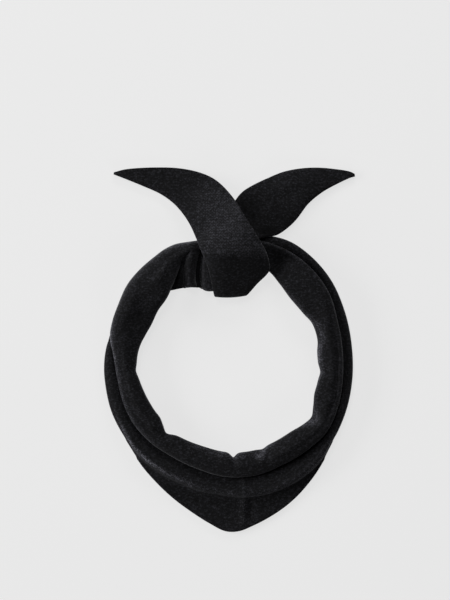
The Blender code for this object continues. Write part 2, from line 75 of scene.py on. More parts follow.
# The roll round the neck opening, a section at each turn in degrees clockwise from the knot. From the
# opening out: the fold's nose bends over a width and reaches its height, the top passes its shoulder and
# its brow, dips by the lip before the rim, and rounds over the rim to hang down.
Roll = namedtuple("Roll", "turn hole rim bend nose shoulder brow rim_top lip round hang")
ROLL = (
    Roll(7, 113.0, 133.5, 4.0, 6.6, 7.4, 7.4, 7.2, 0.0, 1.5, 2.0),
    Roll(13, 111.5, 135.5, 4.4, 7.0, 7.4, 7.4, 9.0, 1.4, 1.5, 2.5),
    Roll(18, 110.5, 135.7, 4.6, 6.2, 6.4, 7.4, 9.8, 1.6, 1.5, 2.5),
    Roll(25, 106.0, 135.6, 4.6, 5.8, 6.2, 8.0, 10.6, 1.6, 1.6, 3.0),
    Roll(30, 102.2, 135.1, 4.6, 9.8, 10.8, 11.0, 12.4, 1.3, 1.6, 3.5),
    Roll(40, 96.2, 132.8, 6.0, 11.6, 12.7, 13.6, 13.4, 0.9, 1.6, 3.5),
    Roll(52, 94.8, 128.3, 7.0, 11.0, 12.6, 13.6, 13.0, 0.5, 1.6, 3.5),
    Roll(64, 96.0, 121.3, 5.0, 9.6, 13.0, 12.4, 12.2, 0.6, 1.8, 3.5),
    Roll(71, 94.6, 118.8, 4.2, 8.0, 12.8, 12.2, 12.0, 0.9, 1.8, 3.5),
    Roll(78, 91.0, 116.8, 5.0, 9.4, 12.4, 11.8, 11.9, 1.1, 1.8, 3.5),
    Roll(92, 89.8, 114.9, 6.0, 10.4, 12.6, 11.6, 12.0, 1.4, 1.8, 3.5),
    Roll(106, 90.6, 115.3, 6.0, 10.6, 12.4, 12.2, 11.8, 1.4, 1.8, 3.5),
    Roll(114, 91.8, 115.9, 6.0, 9.0, 12.2, 12.4, 11.6, 1.0, 2.4, 4.0),
    Roll(121, 93.2, 115.8, 6.5, 8.8, 12.2, 12.2, 11.4, 0.5, 3.0, 4.5),
    Roll(134, 86.4, 111.8, 6.0, 10.8, 12.4, 12.0, 10.8, 0.2, 4.0, 5.0),
    Roll(150, 83.0, 107.9, 7.5, 9.4, 12.2, 12.0, 10.6, 0.1, 4.6, 5.5),
    Roll(157, 82.6, 107.7, 7.5, 8.6, 12.0, 12.0, 10.6, 0.1, 4.6, 5.5),
    Roll(166, 81.8, 107.2, 5.0, 10.4, 12.0, 11.9, 10.7, 0.2, 4.4, 5.5),
    Roll(182, 79.8, 104.9, 5.0, 9.8, 12.0, 12.0, 10.8, 0.2, 4.0, 5.5),
    Roll(198, 78.2, 101.8, 5.5, 9.4, 12.1, 12.4, 10.9, 0.0, 4.8, 5.5),
    Roll(214, 80.2, 101.9, 4.5, 11.0, 12.4, 12.4, 10.8, 0.0, 5.8, 5.5),
    Roll(228, 83.6, 105.1, 4.0, 10.8, 12.6, 12.6, 10.8, 0.0, 6.4, 5.5),
    Roll(242, 82.8, 108.4, 4.0, 11.2, 12.8, 12.8, 10.9, 0.0, 6.4, 5.5),
    Roll(256, 85.8, 110.1, 3.6, 11.8, 12.9, 12.8, 11.0, 0.0, 5.6, 5.5),
    Roll(267, 89.4, 111.4, 3.6, 12.0, 13.2, 12.8, 11.0, 0.0, 4.6, 5.5),
    Roll(278, 91.7, 116.0, 3.8, 11.4, 13.6, 13.4, 11.8, 0.0, 4.8, 6.6),
    Roll(287, 91.4, 123.6, 4.2, 10.4, 14.0, 14.6, 13.4, 0.0, 6.6, 8.6),
    Roll(294, 90.0, 126.6, 4.6, 9.8, 13.2, 16.0, 14.6, 0.0, 7.0, 8.0),
    Roll(302, 89.6, 129.2, 4.8, 9.8, 12.9, 16.2, 15.2, 0.0, 6.0, 10.5),
    Roll(311, 92.6, 133.6, 5.0, 12.2, 14.8, 16.0, 14.6, 0.0, 7.0, 11.0),
    Roll(320, 95.4, 135.7, 5.0, 14.2, 16.1, 15.5, 14.0, 0.0, 9.0, 11.0),
    Roll(327, 102.2, 136.9, 5.0, 12.6, 15.4, 15.6, 13.0, 0.0, 11.0, 10.0),
    Roll(333, 111.2, 138.5, 4.6, 10.6, 14.8, 14.8, 11.8, 0.0, 10.0, 9.4),
    Roll(338, 120.6, 138.3, 4.0, 9.6, 13.4, 13.8, 11.0, 0.0, 8.6, 9.0),
    Roll(343, 123.6, 136.1, 3.0, 9.8, 12.4, 12.8, 11.4, 0.0, 4.5, 8.0),
    Roll(351, 125.6, 134.0, 3.0, 9.8, 11.4, 11.6, 10.2, 0.0, 3.5, 7.0),
)
NOSE_LIFT = 68.0  # how far round its half ellipse the nose is drawn, in degrees
SHOULDER_AT = 0.42  # shares of the way from the nose to the rim
BROW_AT = 0.68
DIP_BEFORE_RIM = 2.8
HIDDEN_EDGE = 5.0  # how far in from the rim the roll's lower edge is hidden

# Pinches in the roll's inner fold: how far each pushes the fold out, how deep its crease runs in the top,
# its half width in degrees, and how far over the roll it reaches.
Pinch = namedtuple("Pinch", "turn push depth spread reach")
PINCHES = (
    Pinch(59, 1.2, 1.2, 5.0, 14.0),
    Pinch(90, 2.2, 1.6, 4.0, 12.0),
    Pinch(104, -1.6, -0.6, 5.0, 10.0),
    Pinch(117, 1.6, 2.0, 4.0, 12.0),
    Pinch(156, 1.4, 1.8, 3.5, 13.0),
    Pinch(176.5, 5.0, 2.6, 2.6, 12.0),
    Pinch(225, 3.6, 2.2, 4.0, 16.0),
    Pinch(236, -1.4, -0.5, 4.0, 10.0),
    Pinch(270.5, 1.6, 1.6, 3.5, 14.0),
)

# The cloth below the roll: radii of the crest of its fold and of its outline, its heights there, how far
# the crest stands up above the cloth just inside it, and how wide its fall is.
Drape = namedtuple("Drape", "turn ridge edge ridge_top edge_top lip fall")
DRAPE = (
    Drape(8, 135.5, 138.0, 5.0, 4.6, 0.0, 3.0),
    Drape(13, 137.0, 140.2, 6.2, 5.8, 0.0, 3.0),
    Drape(19, 139.5, 143.2, 6.9, 6.4, 0.0, 3.0),
    Drape(26, 140.6, 144.6, 7.6, 7.0, 0.0, 3.0),
    Drape(36, 138.2, 142.4, 8.2, 7.6, 0.8, 3.0),
    Drape(48, 134.1, 138.3, 8.4, 7.8, 1.0, 3.0),
    Drape(62, 127.6, 131.9, 8.5, 7.9, 1.4, 3.0),
    Drape(78, 122.3, 126.7, 8.5, 7.8, 1.8, 3.0),
    Drape(94, 120.1, 124.7, 8.4, 7.6, 1.8, 3.0),
    Drape(108, 119.9, 124.6, 8.3, 7.2, 1.6, 3.0),
    Drape(119, 121.2, 125.3, 8.2, 6.2, 1.2, 3.0),
    Drape(127, 123.9, 127.4, 8.2, 4.0, 0.9, 3.0),
    Drape(135, 125.8, 132.0, 8.3, CLOTH, 1.1, 4.0),
    Drape(144, 126.2, 137.6, 8.4, CLOTH, 1.1, 4.5),
    Drape(154, 125.8, 144.6, 8.4, CLOTH, 1.1, 4.5),
    Drape(164, 124.8, 151.3, 8.4, CLOTH, 1.0, 4.5),
    Drape(171, 123.4, 156.3, 8.4, CLOTH, 0.9, 5.0),
    Drape(176, 121.8, 160.0, 8.4, CLOTH, 0.8, 5.0),
    Drape(181, 120.0, 159.6, 8.4, CLOTH, 0.7, 5.5),
    Drape(187, 118.6, 152.8, 8.3, CLOTH, 0.5, 6.0),
    Drape(195, 118.0, 144.6, 8.3, CLOTH, 0.3, 6.5),
    Drape(204, 116.8, 137.6, 8.2, CLOTH, 0.1, 7.0),
    Drape(213, 117.4, 131.9, 8.2, CLOTH, 0.0, 7.0),
    Drape(222, 118.4, 127.8, 8.2, CLOTH, 0.0, 6.0),
    Drape(231, 119.2, 124.2, 8.2, 3.6, 0.0, 5.0),
    Drape(240, 118.2, 122.8, 8.4, 5.8, 0.0, 4.0),
    Drape(251, 118.2, 123.3, 8.6, 7.2, 0.0, 3.0),
    Drape(262, 118.6, 123.4, 8.6, 7.6, 0.0, 3.0),
    Drape(272, 120.2, 124.2, 8.2, 7.2, 0.0, 3.0),
    Drape(281, 121.6, 124.3, 7.0, 6.2, 0.0, 3.0),
    Drape(287, 122.0, 123.5, 5.0, 4.4, 0.0, 3.0),
    Drape(291, 120.6, 122.4, CLOTH, CLOTH, 0.0, 3.0),
    Drape(295, 117.0, 119.0, CLOTH, CLOTH, 0.0, 3.0),
)
DRAPE_UNDER_ROLL = 8.0  # the front cloth starts this far in from the roll's rim
LIP_INSIDE = 3.4  # the cloth dips this far inside the crest, and rises from this far inside the roll's rim
TURNED_BACK = 9.0  # how far a raised outline is turned back under itself
TURNED_FROM = 4.8  # the height from which it is turned back
TURNED_BY = 6.4  # and the height at which it is turned back all the way
EDGE_SHRINKS = 0.4  # how far a free edge draws in when it is rounded, so it is drawn that much wider
NARROW = 20.0  # where a tail is narrower than this, it is drawn wider by less

# Creases drawn in the upper side of the cloth, each from one place to another: how high it stands, or how
# deep it goes where that is negative, and its half width.
Crease = namedtuple("Crease", "from_x from_y to_x to_y high wide")
ROLL_CREASES = (
    Crease(38.0, -97.0, 30.0, -115.0, 1.4, 2.0),
    Crease(32.0, -96.0, 24.0, -113.0, -0.9, 2.4),
    Crease(-26.0, -99.0, -4.0, -104.0, 0.6, 2.2),
    Crease(8.0, -104.0, 24.0, -101.0, 0.5, 2.2),
    Crease(84.0, 26.0, 91.0, 8.0, 1.3, 2.6),
    Crease(91.0, 8.0, 90.0, -16.0, 1.0, 2.4),
    Crease(96.0, -2.0, 98.0, -34.0, -0.5, 3.0),
    Crease(88.0, -58.0, 94.0, -76.0, 0.9, 2.4),
    Crease(-78.0, 60.0, -62.0, 84.0, 0.7, 5.0),
    Crease(-88.0, 44.0, -70.0, 66.0, -0.6, 5.0),
    Crease(-84.0, 4.0, -96.0, 30.0, -0.5, 4.0),
    Crease(-72.0, -76.0, -84.0, -92.0, 0.5, 3.4),
    Crease(60.0, 66.0, 82.0, 44.0, 0.4, 5.0),
)
POINT_CREASES = (
    Crease(14.0, -116.0, 14.0, -148.0, 0.7, 2.4),
    Crease(14.0, -144.0, 13.4, -178.0, 1.7, 2.6),
    Crease(19.6, -146.0, 19.2, -172.0, -0.6, 3.0),
    Crease(-40.0, -136.0, -22.0, -150.0, 0.3, 5.0),
    Crease(44.0, -138.0, 30.0, -156.0, 0.3, 5.0),
)
WRAP_CREASES = (
    Crease(13.5, 130.0, 22.0, 115.0, -0.7, 1.8),
    Crease(22.0, 115.0, 29.5, 100.0, -0.7, 1.8),
    Crease(-24.0, 96.0, 26.0, 99.0, 0.8, 3.0),
    Crease(-14.0, 84.0, -12.0, 60.0, -0.5, 3.0),
    Crease(-96.0, 172.0, -58.0, 158.0, 0.4, 4.0),
    Crease(-60.0, 172.0, -30.0, 150.0, -0.3, 6.0),
)
RIGHT_CREASES = (
    Crease(34.0, 158.0, 92.0, 172.0, 0.5, 5.0),
    Crease(40.0, 142.0, 74.0, 160.0, -0.4, 5.0),
)
CREASE_FADES = 4.0  # how far a crease takes to fade away at its ends, and beside the roll's rim
SIDE_CREASED_FROM = 0.2  # creases and unevenness start at this share of the height of the roll's nose

# Painted shadows: lines like the creases, with no height, along which the knit is painted darker for shade.
# the wrap's shadow, painted on the roll's arm to the right of the knot
ROLL_PAINTED_SHADOW = Crease(45.0, 108.0, 50.0, 72.0, 0.0, 7.0)
# the arm's shadow, painted into the wedge between it and the first pleat
PLEAT_PAINTED_SHADOW = Crease(-54.0, 56.0, -46.5, 92.0, 0.0, 4.5)
# the wrap's shadow, painted on the right tail beside it
RIGHT_PAINTED_SHADOWS = (
    Crease(3.0, 156.0, 41.0, 108.0, 0.0, 7.0),
    Crease(11.0, 149.0, 29.0, 135.0, 0.0, 9.0),
    Crease(27.0, 122.0, 56.0, 115.0, 0.0, 4.0),
)

UNEVEN = 0.35  # how far soft unevenness lifts or lowers the cloth, and the size of its waves
UNEVEN_SIZE = 16.0

# A tail: its left and right edge looking along it, the heights of both edges and of its middle, and its bow
# ahead.
Tail = namedtuple("Tail", "left_x left_y right_x right_y left_z mid_z right_z bow")
LEFT_TAIL = (
    Tail(-116.8, 175.0, -116.6, 177.0, HALF, HALF, HALF, 0.0),
    Tail(-104.3, 170.3, -102.5, 180.2, HALF, 1.3, HALF, 0.0),
    Tail(-86.4, 163.2, -78.0, 181.6, HALF, 1.4, HALF, 0.0),
    Tail(-70.0, 155.8, -52.0, 180.9, HALF, 1.9, HALF, 0.0),
    Tail(-57.0, 146.6, -29.5, 176.2, 2.6, 3.4, 1.5, 0.0),
    Tail(-47.3, 136.0, -12.4, 167.4, 5.6, 6.6, 3.6, 0.0),
    Tail(-39.8, 124.4, 3.0, 151.0, 10.2, 11.6, 10.2, 0.0),
    Tail(-34.3, 112.5, 14.2, 132.4, 14.6, 17.4, 18.4, 0.0),
    Tail(-29.8, 101.0, 24.8, 115.8, 20.0, 23.2, 20.6, 0.0),
    Tail(-24.4, 88.5, 33.6, 101.0, 18.6, 23.6, 16.8, 0.0),
    Tail(-20.2, 76.0, 38.4, 88.4, 13.8, 18.2, 12.4, 0.0),
    Tail(-18.2, 65.0, 38.6, 77.8, 10.8, 14.2, 9.6, 0.5),
    Tail(-16.4, 57.4, 27.2, 66.0, 9.0, 11.2, 8.0, 1.0),
    Tail(-15.2, 53.4, 17.4, 55.2, 7.0, 8.2, 5.6, 1.4),
    Tail(-14.4, 54.4, 15.2, 55.6, 2.8, 3.0, 2.6, 1.0),
    Tail(-13.2, 60.5, 13.6, 61.5, HALF, HALF, HALF, 0.0),
    Tail(-9.0, 72.0, 14.0, 71.0, HALF, HALF, HALF, 0.0),
    Tail(-2.0, 84.0, 12.0, 82.0, HALF, HALF, HALF, 0.0),
)
RIGHT_TAIL = (
    Tail(-16.0, 112.0, 8.0, 98.0, 15.0, 17.6, 15.6, 0.0),
    Tail(-7.0, 129.0, 20.0, 106.5, 11.0, 14.0, 13.6, 0.0),
    Tail(4.2, 146.6, 33.6, 112.0, 9.6, 9.8, 8.6, 0.0),
    Tail(12.5, 157.0, 46.0, 113.9, 5.2, 6.0, 4.8, 0.0),
    Tail(24.0, 164.4, 57.0, 120.9, 2.2, 3.2, 2.2, 0.0),
    Tail(38.0, 171.0, 67.0, 130.6, 1.3, 3.8, 1.8, 0.0),
    Tail(54.0, 177.2, 78.5, 146.0, HALF, 4.4, 1.8, 0.0),
    Tail(72.0, 180.6, 93.0, 157.8, HALF, 3.0, HALF, 0.0),
    Tail(90.0, 181.3, 107.0, 165.5, HALF, 1.9, HALF, 0.0),
    Tail(107.0, 179.8, 118.0, 170.7, HALF, 1.5, HALF, 0.0),
    Tail(119.8, 177.9, 123.4, 172.4, HALF, HALF, HALF, 0.0),
    Tail(125.2, 175.4, 125.4, 172.9, HALF, HALF, HALF, 0.0),
)

# The pleats beside the knot: the ends and the middle of each one's line, and its height at the opening and
# the knot.
Pleat = namedtuple("Pleat", "edge_x edge_y mid_x mid_y knot_x knot_y edge_top knot_top")
PLEATS = (
    Pleat(-66.0, 57.0, -59.0, 71.0, -50.0, 88.0, 2.4, 3.0),
    Pleat(-57.4, 58.2, -52.2, 73.4, -46.2, 91.0, 2.4, 5.0),
    Pleat(-47.8, 60.2, -49.6, 75.6, -43.4, 94.6, 2.4, 10.2),
    Pleat(-44.4, 60.9, -46.8, 76.6, -40.4, 96.4, 4.0, 11.0),
    Pleat(-41.2, 61.6, -43.4, 77.6, -37.6, 97.6, 8.2, 11.8),
    Pleat(-38.0, 61.9, -40.0, 78.3, -34.6, 98.2, 10.6, 10.8),
    Pleat(-34.8, 61.6, -36.8, 78.5, -31.8, 98.8, 8.0, 9.6),
    Pleat(-32.6, 60.9, -34.4, 78.9, -29.4, 99.3, 3.4, 6.2),
    Pleat(-27.8, 59.7, -30.0, 78.4, -26.4, 99.4, 3.4, 6.8),
    Pleat(-22.4, 57.8, -25.2, 77.8, -22.4, 99.1, 10.0, 11.2),
    Pleat(-14.0, 58.0, -17.0, 78.5, -14.5, 99.0, 10.6, 13.5),
    Pleat(4.0, 60.0, -1.0, 80.0, -3.0, 99.0, 9.6, 17.0),
    Pleat(13.0, 64.0, 9.0, 80.0, 6.0, 97.0, 9.2, 16.0),
    Pleat(18.0, 72.0, 14.5, 80.0, 11.0, 90.0, 7.6, 12.0),
    Pleat(22.0, 77.0, 19.5, 86.0, 17.0, 96.0, 7.4, 11.4),
    Pleat(28.0, 83.0, 26.0, 91.0, 24.0, 99.0, 7.2, 11.0),
)
PLEAT_TUCK = 6.0  # the pleats run on this far under the roll's arm
PLEAT_NOSE = 4.0  # the most that their bend at the opening is deep
PLEAT_TURNED_FROM = 5.2  # a pleat that stands higher than this is turned back under itself
PLEAT_TURNED_BACK = 6.0

# Painted light at each turn. A painted highlight lightens the knit where a fold faces the light: along a line
# at a distance in from the roll's inner fold, along its rim, along the crest below it and along the outline.
# A negative rim paints shade on the rim. In the groove beside the rim, painted shade darkens the knit.
PaintedLight = namedtuple("PaintedLight", "turn inside nose rim crest outline groove")
PAINTED_LIGHT = (
    PaintedLight(7, 1.0, 0.00, 0.05, 0.00, 0.00, 0.00),
    PaintedLight(20, 1.0, 0.00, 0.15, 0.00, 0.00, 0.00),
    PaintedLight(32, 1.0, 0.00, 0.20, 0.00, 0.00, 0.00),
    PaintedLight(42, 2.0, 0.25, 0.15, 0.00, 0.00, 0.02),
    PaintedLight(52, 2.0, 0.20, 0.10, 0.00, 0.00, 0.04),
    PaintedLight(58, 2.5, 0.45, 0.10, 0.00, 0.00, 0.05),
    PaintedLight(64, 5.6, 0.52, 0.10, 0.00, 0.00, 0.06),
    PaintedLight(70, 5.8, 0.58, 0.10, 0.00, 0.00, 0.07),
    PaintedLight(76, 2.4, 0.75, 0.10, 0.00, 0.00, 0.08),
    PaintedLight(84, 2.0, 0.85, 0.15, 0.00, 0.00, 0.08),
    PaintedLight(90, 1.2, 0.70, 0.15, 0.00, 0.00, 0.08),
    PaintedLight(96, 1.0, 0.40, 0.10, 0.00, 0.00, 0.08),
    PaintedLight(106, 1.0, 0.10, 0.10, 0.00, 0.05, 0.08),
    PaintedLight(113, 3.0, 0.15, 0.10, 0.00, 0.05, 0.07),
    PaintedLight(118, 5.6, 0.65, 0.05, 0.00, 0.05, 0.06),
    PaintedLight(124, 3.6, 0.30, 0.00, 0.05, 0.05, 0.05),
    PaintedLight(130, 1.0, 0.00, 0.00, 0.20, 0.05, 0.04),
    PaintedLight(147, 2.0, 0.10, 0.00, 0.28, 0.00, 0.02),
    PaintedLight(154, 1.6, 0.75, 0.00, 0.28, 0.00, 0.02),
    PaintedLight(160, 6.0, 0.95, 0.00, 0.28, 0.00, 0.02),
    PaintedLight(165, 5.0, 0.05, 0.00, 0.28, 0.00, 0.00),
    PaintedLight(172, 2.4, 0.40, -0.05, 0.32, 0.00, 0.00),
    PaintedLight(184, 2.4, 0.50, -0.08, 0.30, 0.00, 0.00),
    PaintedLight(190, 4.0, 0.20, -0.08, 0.32, 0.00, 0.00),
    PaintedLight(197, 3.0, 0.20, -0.08, 0.60, 0.00, 0.00),
    PaintedLight(206, 2.0, 0.12, -0.08, 0.95, 0.00, 0.00),
    PaintedLight(216, 1.0, 0.00, -0.08, 1.50, 0.00, 0.00),
    PaintedLight(226, 1.0, 0.00, 0.00, 1.80, 0.30, 0.00),
    PaintedLight(234, 1.0, 0.00, 0.30, 1.00, 0.50, 0.00),
    PaintedLight(245, 1.0, 0.00, 0.50, 0.35, 0.40, 0.00),
    PaintedLight(255, 1.0, 0.00, 0.95, 0.00, 0.25, 0.00),
    PaintedLight(268, 1.0, 0.00, 1.00, 0.00, 0.05, 0.00),
    PaintedLight(276, 1.0, 0.00, 0.90, 0.00, 0.05, 0.00),
    PaintedLight(287, 1.0, 0.00, 1.40, 0.00, 0.00, 0.00),
    PaintedLight(293, 1.0, 0.00, 0.60, 0.00, 0.00, 0.00),
    PaintedLight(299, 1.0, 0.00, 0.15, 0.00, 0.00, 0.00),
    PaintedLight(320, 1.0, 0.00, 0.05, 0.00, 0.00, 0.00),
    PaintedLight(332, 1.0, 0.00, 0.80, 0.00, 0.00, 0.00),
    PaintedLight(342, 1.0, 0.00, 0.60, 0.00, 0.00, 0.00),
    PaintedLight(351, 1.0, 0.00, 0.05, 0.00, 0.00, 0.00),
)
NOSE_PALE_FROM = 0.3  # the painted highlight starts at this share of the height of the roll's nose
NOSE_PALE_WIDE = 2.8  # how far each line's painted highlight or painted shade runs to either side of it
RIM_PALE_WIDE = 2.4
CREST_PALE_WIDE = 1.0
CREST_OUT = 0.5  # the painted highlight lies just outside the crest
GROOVE_DARK_WIDE = 4.0
ROLL_PALE = 0.22  # how much painted highlight lies along the roll's first crease
POINT_PALE = 0.13  # and the two creases down the point
ROLL_DARK = 0.10  # how dark each painted shadow is
RIGHT_DARK = 0.08
PLEAT_DARK = 0.12
PLEAT_PALE = 0.04  # how much painted highlight lies on the tops of the pleats
PLEAT_PALE_FROM = 3.0  # the heights between which a pleat turns from painted shade to painted highlight
PLEAT_PALE_BY = 8.0

# The left tail is stretched over the knot. Where the wrap faces the light, a painted highlight lightens it
# from its free end as far as the top of the wrap's turn. Painted shade darkens it from there to the opening.
WRAP_SHOWN = 105  # how many of its sections lie on top, before it turns under
WRAP_PALE = 0.15
WRAP_PAINTED_SHADE = 0.04
WRAP_PALE_X = -44.0  # it starts to be painted lighter at these places, and takes this run to do so
WRAP_PALE_Y = 176.0
WRAP_PALE_RUN = 26.0
WRAP_TOP_Y = 91.0
WRAP_TOP_RUN = 4.0


# ---- curves through the tables -------------------------------------------------------------------

SAME_POINT = 0.02  # key points that lie closer together than this count as one


def smooth(places, values, at):
    """Values, at an array of places, of a smooth curve through points whose places rise."""
    places = np.asarray(places, float)
    values = np.asarray(values, float)
    slope = np.empty_like(values)
    slope[1:-1] = (values[2:] - values[:-2]) / (places[2:] - places[:-2])
    slope[0] = (values[1] - values[0]) / (places[1] - places[0])
    slope[-1] = (values[-1] - values[-2]) / (places[-1] - places[-2])
    i = np.clip(np.searchsorted(places, at, side="right") - 1, 0, len(places) - 2)
    wide = places[i + 1] - places[i]
    step = values[i + 1] - values[i]
    before = slope[i] * wide
    after = slope[i + 1] * wide
    q = np.clip((at - places[i]) / wide, 0, 1)
    return values[i] + q * (before + q * (3 * step - 2 * before - after + q * (before + after - 2 * step)))


def rows_at(table, at, places=None):
    """The table's columns as arrays, read at an array of places on its first column, or on those given."""
    if places is None:
        places = [row[0] for row in table]
    return type(table[0])(*(smooth(places, column, at) for column in zip(*table)))


def ease(share):
    """A share from 0 to 1 that starts and stops softly."""
    share = np.clip(share, 0, 1)
    return share * share * (3 - 2 * share)


def mix(a, b, share):
    return a + (b - a) * share


def evenly(line, count):
    """A smooth line through key points, as evenly spaced points."""
    line = np.asarray(line, float)
    keep = np.r_[True, np.linalg.norm(np.diff(line, axis=0), axis=1) > SAME_POINT]
    line = line[keep]
    along = np.r_[0, np.cumsum(np.linalg.norm(np.diff(line, axis=0), axis=1))]
    dense_at = np.linspace(0, along[-1], 8 * count)
    dense = np.stack([smooth(along, line[:, k], dense_at) for k in range(line.shape[1])], 1)
    reach = np.r_[0, np.cumsum(np.linalg.norm(np.diff(dense, axis=0), axis=1))]
    at = np.linspace(0, reach[-1], count)
    return np.stack([np.interp(at, reach, dense[:, k]) for k in range(line.shape[1])], 1), at


def arc(radius, height, out, up, first, last, count):
    """Points of a section on an ellipse round (radius, height), between two angles from straight out."""
    angles = np.radians(np.linspace(first, last, count))
    return [(radius + out * math.cos(a), height + up * math.sin(a)) for a in angles]


def on_ring(turns, sections):
    """Sections of (radius, height) at an array of turns, as a grid of points in the frame."""
    angles = np.radians(turns)[:, None]
    x = RING_X + sections[..., 0] * np.sin(angles)
    y = RING_Y + sections[..., 0] * np.cos(angles)
    return np.stack([x, y, sections[..., 1]], -1)


def near(crease, grid):
    """A share from 0 to 1 of how near a crease each point of a grid is, fading at the crease's ends."""
    start = np.array([crease.from_x, crease.from_y])
    run = np.array([crease.to_x, crease.to_y]) - start
    long = np.linalg.norm(run)
    along = (grid[..., :2] - start) @ run / long
    beside = np.linalg.norm(grid[..., :2] - start - np.clip(along / long, 0, 1)[..., None] * run, axis=-1)
    ends = ease(along / CREASE_FADES) * ease((long - along) / CREASE_FADES)
    return ends * np.exp(-((beside / crease.wide) ** 2))


def creased(grid, creases, seed, shown):
    """Draws creases and a soft unevenness in a grid, as far as each of its points shows."""
    lifted = shown * ease((grid[..., 2] - HALF) / LIFT)
    for crease in creases:
        grid[..., 2] += crease.high * near(crease, grid) * shown
    shift = Vector((seed * 17.3, seed * 5.1, seed * 9.7))
    waves = [noise.noise(Vector(point) / UNEVEN_SIZE + shift) for point in grid.reshape(-1, 3)]
    grid[..., 2] += UNEVEN * np.reshape(waves, grid.shape[:2]) * lifted


# ---- the sections of each stretch ----------------------------------------------------------------


def pinched(turn, into):
    """How much the pinches push the fold out and lower the top, at a turn and a distance in from the fold."""
    push = 0.0
    depth = 0.0
    for pinch in PINCHES:
        share = math.exp(-(((turn - pinch.turn) / pinch.spread) ** 2))
        push += pinch.push * share
        depth += pinch.depth * share * max(0.0, 1.0 - into / pinch.reach)
    return push, depth


def roll_line(row):
    """The middle of the roll's cloth, cut across at a turn, from its lower edge to its free edge."""
    push, depth = pinched(row.turn, 0)
    hole = row.hole + push
    nose = row.nose - 0.5 * depth
    start = hole + row.bend
    finish = row.rim - HALF + CORNER
    inner = max(row.rim - DRAPE_UNDER_ROLL - CLOTH, start + 1.1)
    outer = max(row.rim - HIDDEN_EDGE, inner + 1.5)
    # The hidden edge lies on the start of the front cloth, and steps down beside it.
    line = [(outer, LIFT + HALF), (mix(inner, outer, 0.3), LIFT + HALF)]
    line.append((inner - 1.0, 0.5 * LIFT + HALF))
    # The cloth bends up round the opening, then passes the shoulder and the brow.
    line += arc(start, nose / 2, HALF - row.bend, nose / 2 - HALF, -90, NOSE_LIFT, 8)
    rim_from = finish - row.round
    for share, height in ((SHOULDER_AT, row.shoulder), (BROW_AT, row.brow)):
        radius = mix(start, finish, share)
        if radius < rim_from - DIP_BEFORE_RIM - 1.5:
            line.append((radius, height - HALF - pinched(row.turn, radius - start)[1]))
    # It dips, rounds over the rim and hangs down.
    line.append((rim_from - DIP_BEFORE_RIM, mix(row.rim_top, row.brow, 0.4) - row.lip - HALF))
    hang_from = row.rim_top - HALF - row.hang
    line += arc(rim_from, hang_from, row.round, row.hang, 88, 4, 6)
    line.append((finish - 0.5, hang_from - 1.0))
    return line


def drape_line(row, rim):
    """The middle of the front cloth, cut across at a turn, from under the roll to the outline."""
    # The cloth comes out from under the roll and rises to the lip.
    rise_from = min(rim, row.ridge - 3.0) - LIP_INSIDE
    line = [(min(rim - DRAPE_UNDER_ROLL, rise_from - 1.0), HALF), (rise_from, HALF)]
    lip_from = row.ridge - LIP_INSIDE
    lip_top = row.ridge_top - row.lip
    for share in (0.25, 0.5, 0.78):
        height = mix(CLOTH, lip_top, 1 - (1 - share) ** 2)
        line.append((mix(rise_from, lip_from, share), height - HALF))
    line.append((lip_from, lip_top - HALF))
    line.append((row.ridge - 0.5, row.ridge_top - HALF))
    # Past the crest it falls to the height of the outline, and runs out to it.
    nose = min(row.edge_top / 2, (row.edge - row.ridge) / 1.2)
    edge_from = row.edge - nose + CORNER
    fall = min(row.fall, edge_from - row.ridge)
    for share in (0.25, 0.5, 0.75):
        height = mix(row.ridge_top, row.edge_top, float(ease(share)))
        line.append((row.ridge + share * fall, height - HALF))
    line.append((mix(row.ridge + fall, edge_from, 0.5), row.edge_top - HALF))
    # A raised outline is turned back under itself. A flat one ends there.
    turned = row.edge_top / 2 - HALF
    if turned > CORNER:
        line += arc(edge_from, row.edge_top / 2, max(nose - HALF, CORNER), turned, 75, -90, 7)
        back = TURNED_BACK * float(ease((row.edge_top - TURNED_FROM) / (TURNED_BY - TURNED_FROM)))
        line.append((edge_from - back - CORNER, HALF))
    else:
        line.append((row.edge + EDGE_SHRINKS, HALF))
    return line


def tail_grid(table, along_count, across_count):
    """The middle surface of a tail as a grid, evenly spaced along its middle."""
    places = np.arange(len(table))
    fine = rows_at(table, np.linspace(0, len(table) - 1, 40 * len(table)), places)
    middle = np.stack([(fine.left_x + fine.right_x) / 2, (fine.left_y + fine.right_y) / 2, fine.mid_z], 1)
    reach = np.r_[0, np.cumsum(np.linalg.norm(np.diff(middle, axis=0), axis=1))]
    at = np.interp(np.linspace(0, reach[-1], along_count), reach, np.linspace(0, len(table) - 1, len(middle)))
    row = rows_at(table, at, places)
    left = np.stack([row.left_x, row.left_y, row.left_z], 1)[:, None]
    right = np.stack([row.right_x, row.right_y, row.right_z], 1)[:, None]
    wide = np.linalg.norm(right - left, axis=2, keepdims=True)
    across = np.linspace(-1, 1, across_count)[None, :, None]
    grow = 1 + 2 * EDGE_SHRINKS * np.minimum(1.0, wide / NARROW) / wide
    grid = left + (right - left) * (across * grow + 1) / 2
    raised = (1 - across[..., 0] ** 4) * (row.mid_z - (row.left_z + row.right_z) / 2)[:, None]
    grid[..., 2] += raised
    ahead = np.stack([(right - left)[:, 0, 1], (left - right)[:, 0, 0]], 1)
    ahead /= np.linalg.norm(ahead, axis=1, keepdims=True)
    grid[..., :2] += ahead[:, None] * (row.bow[:, None] * (1 - across[..., 0] ** 2))[..., None]
    return grid


